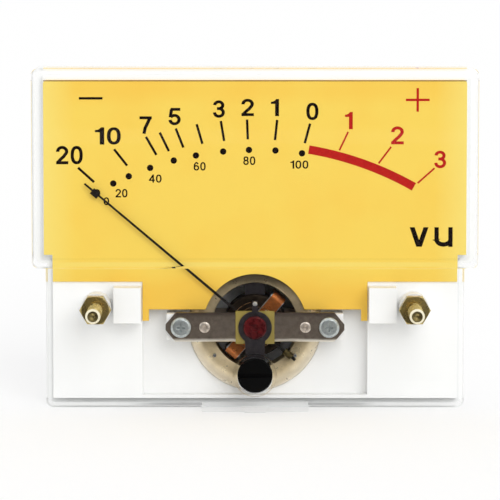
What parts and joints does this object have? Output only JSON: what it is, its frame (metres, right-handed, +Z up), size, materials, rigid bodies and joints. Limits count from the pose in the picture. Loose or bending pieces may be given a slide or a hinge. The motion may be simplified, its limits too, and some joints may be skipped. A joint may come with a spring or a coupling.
{
  "type": "analog level meter",
  "caption": "Frameless panel level meter: clear stepped cover, yellow arc dial, sprung moving-coil pointer and a front zero adjuster.",
  "frame": {"origin": "middle of the meter's outline in plan, on the surface that its bottom foot stands on", "axes": "+X to the right seen from the front, +Y from the window to the back, +Z up"},
  "size_m": [0.0882, 0.0422, 0.0688],
  "materials": {
    "clear_plastic": "clear moulded acrylic, polished",
    "white_plastic": "white moulded plastic, fine matt texture",
    "black_plastic": "black moulded plastic",
    "dial_paint": "warm yellow screen print, semi-matt",
    "zinc": "zinc plated",
    "dark_steel": "dark oxide",
    "steel": "hardened and polished",
    "plated_iron": "pale plated soft iron, turned",
    "magnet": "ground cast magnet alloy",
    "brass": "turned brass, slightly dulled",
    "tinned_brass": "tinned",
    "bronze": "phosphor bronze strip",
    "copper_wire": "enamelled copper wire, close wound",
    "aluminium": "thin drawn aluminium",
    "black_paint": "matt black paint on aluminium",
    "red_lacquer": "dark red locking lacquer on brass",
    "ruby": "polished synthetic jewel",
    "olive_insulation": "olive moulded insulation",
    "fibre_board": "brown laminated board",
    "diode_body": "black moulded body, tinned leads",
    "resistor_body": "tan lacquered body, tinned leads"
  },
  "bodies": {
    "housing": {"front_cover": "clear_plastic", "dial_plate": "dial_paint", "base_housing": "white_plastic", "front_bridge": "zinc", "bridge_insulator": "olive_insulation", "front_jewel_screw": "red_lacquer", "front_jewel": "ruby", "rear_jewel_screw": "red_lacquer", "rear_jewel": "ruby", "rear_lock_nut": "zinc", "bridge_screws": "zinc", "front_rivets": "brass", "rear_rivets": "brass", "yoke_ring": "plated_iron", "core_magnet": "magnet", "core_spacers": "brass", "pointer_stops": "steel", "rear_hairspring": "bronze", "rear_spring_arm": "dark_steel", "rear_bridge": "zinc", "panel_studs": "brass", "panel_nuts": "brass", "terminal_tags": "tinned_brass", "rectifier_board": "fibre_board", "rectifier_diodes": "diode_body", "series_resistor": "resistor_body"},
    "moving_coil": {"pointer": "black_paint", "pointer_boss": "aluminium", "rear_boss": "aluminium", "front_pivot": "steel", "rear_pivot": "steel", "tail_weight": "brass", "side_weights": "brass", "coil_winding": "copper_wire", "coil_former": "aluminium"},
    "lever": {"zero_lever": "dark_steel", "front_hairspring": "bronze"},
    "adjuster": {"zero_adjuster": "black_plastic"}
  },
  "joints": [
    {"name": "pointer_swing", "type": "hinge", "parent": "housing", "child": "moving_coil", "pos_m": [0, 0.0034, 0.0166], "axis": [0, 1, 0], "range_deg": [0, 100], "stiffness_Nm_per_rad": 0.00002},
    {"name": "adjuster_turn", "type": "hinge", "parent": "housing", "child": "adjuster", "pos_m": [0, -0.0078, 0.0074], "axis": [0, 1, 0], "range_deg": [-40, 40]},
    {"name": "lever_swing", "type": "hinge", "parent": "housing", "child": "lever", "pos_m": [0, -0.0052, 0.0166], "axis": [0, 1, 0], "range_deg": [-5, 5]}
  ],
  "couplings": [
    {"joint": "lever_swing", "follows": "adjuster_turn", "ratio": -0.12195}
  ]
}
